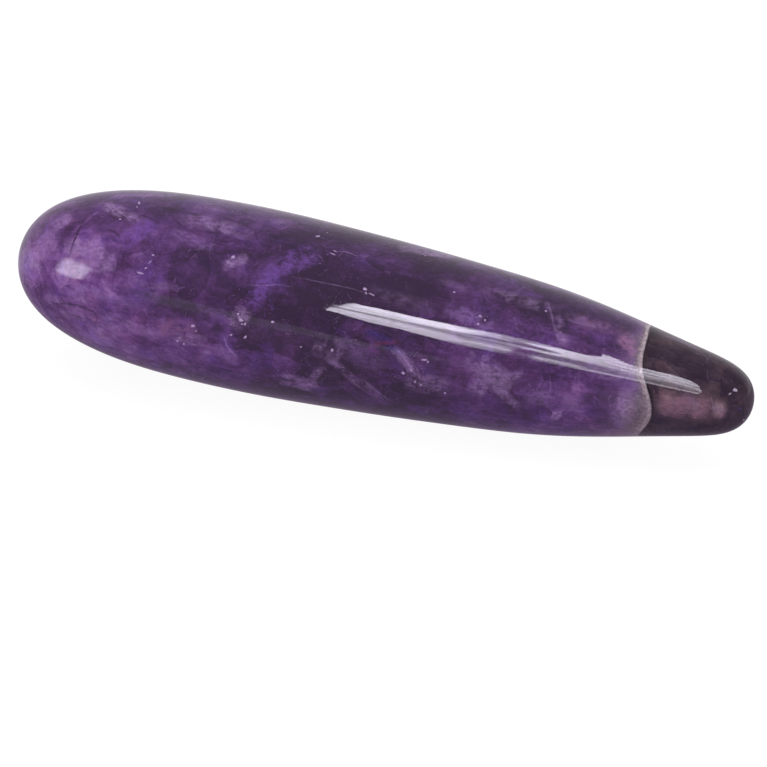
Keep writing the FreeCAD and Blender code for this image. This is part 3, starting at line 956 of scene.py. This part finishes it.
for pts, wd, kd, st in [
    ([(90, 212), (84, 219), (78, 232), (72, 246), (69, 258)], 1.8, 0.0, 0.9),
    # painted dark reflection along the rim of the left end
    ([(31, 222), (26, 230), (23, 240), (22, 252)], 3.0, 0.0, 0.8),
    ([(54, 303), (62, 303), (76, 305), (88, 309), (97, 314), (102, 322)], 3.2, 0.0, 0.85),
    ([(106, 230), (112, 230), (118, 234), (121, 239)], 2.2, 0.0, 0.9),
    ([(122, 246), (119, 256), (117, 268), (113, 280)], 1.8, 0.0, 0.7),
    ([(134, 214), (142, 216), (152, 218), (160, 222)], 2.2, 0.0, 0.8),
    ([(180, 206), (186, 212), (192, 215), (202, 216)], 2.6, 0.0, 0.85),
    ([(190, 219), (196, 217), (204, 218)], 1.8, 0.0, 0.7),
    ([(168, 212), (176, 222), (184, 228)], 1.6, 0.0, 0.6),
    # painted dark reflection line along the middle of the wand
    ([(107, 283), (140, 292), (172, 301), (205, 308), (236, 315)], 2.0, 0.0, 0.45),
    # painted dark reflection line under the lower edge of the long highlight
    ([(333, 312), (352, 319), (378, 327), (410, 337), (440, 345)], 1.6, 0.0, 0.95),
    ([(291, 276), (320, 282), (350, 288), (376, 296)], 1.4, 1.0, 0.22),
    ([(360, 378), (368, 384), (380, 394), (392, 402)], 1.4, 1.0, 0.45),
    ([(398, 350), (404, 358), (410, 366), (416, 375)], 2.0, 1.0, 0.7),
    ([(345, 375), (355, 384), (366, 392), (378, 400)], 1.0, 1.0, 0.4),
    ([(103, 206), (114, 207), (124, 214), (131, 222)], 1.2, 1.0, 0.5),
    ([(224, 336), (226, 345), (231, 352), (238, 358)], 3.0, 1.0, 0.6),
    ([(335, 252), (342, 250), (352, 254), (360, 257)], 0.9, 1.0, 0.5),
    ([(240, 284), (262, 286), (278, 284), (296, 288)], 1.0, 1.0, 0.35),
    ([(646, 372), (651, 386), (653, 402), (651, 418), (645, 430)], 1.2, 0.0, 0.8),
    ([(650, 334), (647, 344), (644, 354)], 1.0, 0.0, 0.5),
    ([(683, 361), (694, 358), (704, 354), (714, 352)], 1.6, 0.0, 0.9),
    ([(660, 334), (676, 339), (694, 347), (704, 354)], 3.0, 1.0, 0.25),
    ([(711, 397), (713, 404), (714, 411)], 1.6, 1.0, 0.55),
    ([(724, 372), (720, 380), (722, 390), (730, 398), (740, 398)], 3.4, 0.0, 0.8),
    ([(730, 368), (740, 368), (746, 376), (747, 388)], 2.2, 0.0, 0.7),
    ([(547, 300), (552, 314), (554, 330)], 1.6, 1.0, 0.25),
    ([(549, 372), (551, 386), (549, 400)], 1.4, 1.0, 0.22),
    ([(566, 319), (582, 324), (600, 328)], 1.4, 1.0, 0.3),
    ([(470, 350), (484, 366), (496, 384)], 1.2, 1.0, 0.3)]:
    crack(pts, wd, kd, st)
veil(films, 380, 337, 34, 9, 22, 0.3, 0.7, 0.0, 0.9)
veil(films, 385, 343, 30, 5, -6, 0.25, 0.6, 0.5, 1.0)
veil(films, 374, 350, 16, 8, 30, 0.3, 0.7, 1.0, 0.8)
veil(films, 395, 350, 26, 7, 20, 0.35, 0.8, 0.0, 0.7)
veil(films, 740, 409, 7, 6, 0, 0.2, 0.5, 0.0, 1.0)
veil(films, 275, 282, 12, 9, 0, 0.3, 0.7, 0.0, 0.7)


def sheet_round(marks, x, a, size, thin, roll, dep, kind, strength):
    """A veil anywhere round the stone, placed along and round the wand."""
    n, m = 12, 7
    r = float(radius_at(x))
    pts, fade = [], []
    for i in range(n):
        for j in range(m):
            s, w = i / (n - 1) * 2 - 1, j / (m - 1) * 2 - 1
            dx = s * size / 2 * math.cos(roll) - w * thin / 2 * math.sin(roll)
            dt = s * size / 2 * math.sin(roll) + w * thin / 2 * math.cos(roll)
            xx = min(max(x + dx, 1.5), 108.0)
            rr = float(radius_at(xx)) - dep - 0.5 * w - 0.1 * math.sin(4 * s)
            rr = min(max(rr, 0.2), float(radius_at(xx)) * 0.985)
            th = a + dt / max(r, 2.0)
            pts.append((xx, KY * rr * math.cos(th), KZ * rr * math.sin(th)))
            fade.append(strength * max(0.0, 1 - abs(s) ** 2.5) * max(0.0, 1 - w * w))
    faces = [(i * m + j, (i + 1) * m + j, (i + 1) * m + j + 1, i * m + j + 1)
             for i in range(n - 1) for j in range(m - 1)]
    marks.add(pts, faces, fade, kind)


# the sides that the main view doesn't show: the same kinds of veil, scattered
front = math.atan2(math.sin(CAM_EL), -math.cos(CAM_EL))
for k in range(90):
    x = RNG.uniform(4, 92)
    a = front + RNG.uniform(1.25, 2 * math.pi - 1.25)
    pale = RNG.uniform() < 0.6
    sheet_round(veils if pale else shades, x, a, RNG.uniform(3, 11), RNG.uniform(1, 4),
                RNG.uniform(-0.9, 0.9), RNG.uniform(0.6, 1.5),
                float(RNG.choice([0.0, 0.25, 0.5] if pale else [0.0, 1.0])), RNG.uniform(0.25, 0.7))
# tiny slivers round the hidden sides: the first 60 are painted glints, white with a faint glow; the rest are fine
# dust
for k in range(420):
    x = RNG.uniform(3, 107)
    a = front + RNG.uniform(1.2, 2 * math.pi - 1.2)
    r = float(radius_at(x)) * RNG.uniform(0.86, 0.96)
    c = np.array([x, KY * r * math.cos(a), KZ * r * math.sin(a)])
    t1 = np.array([1.0, 0, 0]) * RNG.uniform(0.06, 0.26)
    t2 = np.array([0, -math.sin(a), math.cos(a)]) * RNG.uniform(0.05, 0.14)
    w = RNG.uniform(-0.6, 0.6)
    t1, t2 = t1 * math.cos(w) + t2 * math.sin(w), t2 * math.cos(w) - t1 * math.sin(w) * 0.4
    ring = [c + t1 * math.cos(h) * RNG.uniform(0.7, 1.2) + t2 * math.sin(h) * RNG.uniform(0.7, 1.2)
            for h in np.linspace(0, 2 * math.pi, 7)[:-1]]
    (glints if k < 60 else dust).add(ring, [tuple(range(6))], [1.0] * 6,
                                     0.0 if k < 60 else float(RNG.choice([0.0, 0.0, 0.5, 1.0])))

glint_ob = glints.done("painted_glint_flecks", glint_mat)
dust_ob = dust.done("fine_dust", dust_mat)
veil_ob = veils.done("pale_veils_and_painted_glow", veil_mat)
shade_ob = shades.done("dark_veils_and_painted_reflection_lines", shade_mat)
crack_ob = cracks.done("fracture_and_painted_reflection_lines", crack_mat)
film_ob = films.done("thin_film_patches", film_mat)

# ---------------------------------------------------------------- stage
def sky(az, el, dist=1.0):
    """A place seen from the wand at this azimuth and elevation, in degrees."""
    a, e = math.radians(az), math.radians(el)
    d = np.array([math.sin(a) * math.cos(e), -math.cos(a) * math.cos(e), math.sin(e)])
    return aim + d * dist


def emitter(name, outline, radiance, soft=(0.04, 0.04, 0.04, 0.04), streaks=0, dist=1.0):
    """A soft lamp panel that the polish can reflect, unseen by the camera.
    outline is a list of (azimuth, elevation) corners as seen from the wand;
    soft is the feather at its left, right, low and high edges."""
    az = [k[0] for k in outline]
    el = [k[1] for k in outline]
    me = bpy.data.meshes.new(name)
    me.from_pydata([tuple(sky(*k, dist)) for k in outline], [], [tuple(range(len(outline)))])
    uv = me.uv_layers.new(name="UVMap")
    for i, k in enumerate(outline):
        uv.data[i].uv = ((k[0] - min(az)) / (max(az) - min(az)), (k[1] - min(el)) / (max(el) - min(el)))
    t = Tree(name)
    co = t.n("SeparateXYZ", None, Vector=t.n("UVMap").outputs[0])
    x, y = co.outputs[0], co.outputs[1]
    g = t.span(x, 0.0, soft[0])
    g = t.math("MULTIPLY", g, t.span(x, 1.0 - soft[1], 1.0, 1.0, 0.0))
    g = t.math("MULTIPLY", g, t.span(y, 0.0, soft[2]))
    g = t.math("MULTIPLY", g, t.span(y, 1.0 - soft[3], 1.0, 1.0, 0.0))
    if streaks:
        lines = t.n("CombineXYZ", None, X=t.math("MULTIPLY", x, 2.0), Y=t.math("MULTIPLY", y, streaks)).outputs[0]
        g = t.math("MULTIPLY", g, t.span(t.noise(lines, 1.0, 2.0, 0.5), 0.40, 0.56, 0.24, 1.0))
        # a dark wedge between the upper and the lower strands, and one gap
        cut = t.math("MULTIPLY", t.span(x, 0.16, 0.24), t.span(x, 0.495, 0.555, 1.0, 0.0))
        mid = t.math("ABSOLUTE", t.math("SUBTRACT", y, 0.527))
        mid = t.math("DIVIDE", mid, t.span(x, 0.20, 0.54, 0.079, 0.013, False))
        wedge = t.math("MULTIPLY", cut, t.span(mid, 0.5, 1.15, 1.0, 0.0))
        g = t.math("MULTIPLY", g, t.math("SUBTRACT", 1.0, t.math("MULTIPLY", wedge, 0.72)))
        gx = t.math("ABSOLUTE", t.math("SUBTRACT", x, 0.39))
        hole = t.math("MULTIPLY", t.span(gx, 0.03, 0.055, 1.0, 0.0), t.span(y, 0.34, 0.42, 1.0, 0.0))
        g = t.math("MULTIPLY", g, t.math("SUBTRACT", 1.0, t.math("MULTIPLY", hole, 0.8)))
        # brightest along its upper edge
        g = t.math("MULTIPLY", g, t.span(y, 0.20, 0.80, 0.62, 1.30))
        g = t.math("MULTIPLY", g, t.span(x, 0.10, 0.80, 1.30, 0.66, False))
    em = t.n("Emission", None, Strength=t.math("MULTIPLY", g, radiance), Color=(0.97, 0.93, 1.06, 1))
    t.t.links.new(em.outputs[0], t.out.inputs[0])
    me.materials.append(t.mat)
    ob = bpy.data.objects.new(name, me)
    bpy.context.collection.objects.link(ob)
    ob.visible_camera = False
    ob.visible_diffuse = False
    ob.visible_shadow = False
    ob.visible_transmission = False
    return ob


emitter("strip_softbox", [(-12.6, 36), (-6, 27), (18, 26), (21, 33), (24, 46), (25.5, 59), (24, 63),
                          (20, 56.2), (16, 53.8), (12, 54.2), (7, 55.2), (0, 55.6), (-7, 53.6), (-14.3, 51.2)], 12.0,
        (0.02, 0.02, 0.06, 0.02), streaks=5.0)
emitter("side_softbox", [(-63.5, 5), (-57, 0.5), (-49, 0.5), (-43, 8), (-43.5, 20), (-50, 25), (-58, 24.5), (-63.5, 16)],
        5.2, (0.38, 0.14, 0.22, 0.28))
emitter("low_front_glow", [(-36, 0.2), (-4, 0.2), (-6, 4.5), (-9.9, 5.8), (-12.8, 8.9), (-16.7, 9.8), (-23.2, 12.6), (-36, 13.6)],
        0.55, (0.3, 0.1, 0.001, 0.001))


def lamp(name, centre, target, size, power, size_y=None):
    d = bpy.data.lights.new(name, "AREA")
    d.shape = "RECTANGLE"
    d.size, d.size_y, d.energy = size, size_y or size, power
    o = bpy.data.objects.new(name, d)
    o.location = centre
    o.rotation_mode = "QUATERNION"
    o.rotation_quaternion = (Vector(target) - Vector(centre)).to_track_quat("-Z", "Y")
    bpy.context.collection.objects.link(o)
    o.visible_camera = False
    o.visible_glossy = False
    o.visible_transmission = False
    return o


lamp("top_fill", (0.0, 0.0, 0.9), (0, 0, 0), 1.2, 6.8)
lamp("front_fill", tuple(sky(10, 32, 1.1)), (0, 0, 0.013), 0.8, 4.6)
lamp("back_fill", (-0.3, 0.9, 0.6), (0, 0, 0.013), 0.8, 3.0)

# floor
me = bpy.data.meshes.new("floor")
R = 6.0
me.from_pydata([(-R, -R, 0), (R, -R, 0), (R, R, 0), (-R, R, 0)], [], [(0, 1, 2, 3)])
t = Tree("pale floor")
lp = t.n("LightPath")
reach = t.n("VectorMath", {"operation": "LENGTH"})
t.put(reach.inputs[0], t.n("NewGeometry").outputs["Position"])
# seen by the camera: white, dimmer near the wand (0.93 within 0.09 m, 1.03 past 0.4 m), with a faint real shadow from
# the diffuse part
seen_em = t.n("Emission", None, Color=(1, 1, 1, 1),
              Strength=t.span(reach.outputs["Value"], 0.09, 0.40, 0.93, 1.03))
seen_df = t.n("BsdfDiffuse", None, Color=(0.12, 0.12, 0.12, 1))
seen = t.n("AddShader")
t.put(seen.inputs[0], seen_em.outputs[0])
t.put(seen.inputs[1], seen_df.outputs[0])
# seen in reflections and through the stone: a painted shadow, dim and purple-tinted, on the camera's side of the wand
# and under it, brightening to whiter light from about 6 cm behind it; it also lights the stone from below
away = t.n("VectorMath", {"operation": "DOT_PRODUCT"})
t.put(away.inputs[0], t.n("NewGeometry").outputs["Position"])
away.inputs[1].default_value = tuple(level)
far = t.span(away.outputs["Value"], 0.012, 0.06)
reflected_floor_with_painted_shadow = t.n("Emission", None, Color=t.mix(far, (0.92, 0.74, 1.0, 1), (0.97, 0.92, 1.0, 1)),
            Strength=t.span(away.outputs["Value"], 0.012, 0.06, 0.30, 0.62))
mx = t.n("MixShader")
t.put(mx.inputs[0], lp.outputs["Is Camera Ray"])
t.put(mx.inputs[1], reflected_floor_with_painted_shadow.outputs[0])
t.put(mx.inputs[2], seen.outputs[0])
t.t.links.new(mx.outputs[0], t.out.inputs[0])
me.materials.append(t.mat)
floor = bpy.data.objects.new("floor", me)
bpy.context.collection.objects.link(floor)

# surroundings: bright low down behind, dim in front, white where looked at
world = bpy.data.worlds.new("surroundings")
bpy.context.scene.world = world
world.use_nodes = True
wt = Tree.__new__(Tree)
wt.t = world.node_tree
wt.t.nodes.clear()
wt.out = wt.t.nodes.new("ShaderNodeOutputWorld")
gen = wt.n("TexCoord").outputs["Generated"]
dot = wt.n("VectorMath", {"operation": "DOT_PRODUCT"})
wt.put(dot.inputs[0], gen)
dot.inputs[1].default_value = tuple(level)
back = wt.span(dot.outputs["Value"], 0.2, 0.9, 0.0, 1.0)
zc = wt.n("SeparateXYZ", None, Vector=gen).outputs[2]
lowness = wt.span(zc, 0.15, 0.75, 1.0, 0.0)
high = wt.math("MULTIPLY", wt.span(zc, 0.30, 0.65), 0.16)
g = wt.math("ADD", 0.12, wt.math("MULTIPLY", back, wt.math("ADD", wt.math("MULTIPLY", lowness, 0.46), high)))
bg1 = wt.n("Background", None, Color=(0.98, 0.93, 1.0, 1), Strength=g)
bg2 = wt.n("Background", None, Color=(1, 1, 1, 1), Strength=1.0)
wlp = wt.n("LightPath")
wm = wt.n("MixShader")
wt.put(wm.inputs[0], wlp.outputs["Is Camera Ray"])
wt.put(wm.inputs[1], bg1.outputs[0])
wt.put(wm.inputs[2], bg2.outputs[0])
wt.t.links.new(wm.outputs[0], wt.out.inputs[0])

scene = bpy.context.scene
scene.view_settings.view_transform = "Standard"
scene.cycles.transparent_max_bounces = 24
scene.cycles.max_bounces = 12
scene.cycles.transmission_bounces = 10
scene.cycles.glossy_bounces = 4
scene.cycles.diffuse_bounces = 3

# ---------------------------------------------------------------- rides
pieces = [body_skin, band_skin, tip_skin, depths, tip_depths, glint_ob, dust_ob, veil_ob, shade_ob, crack_ob, film_ob]
for o in pieces:
    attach(o, "root")
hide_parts("amethyst_body")
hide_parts("milky_quartz_band")
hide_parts("smoky_tip")
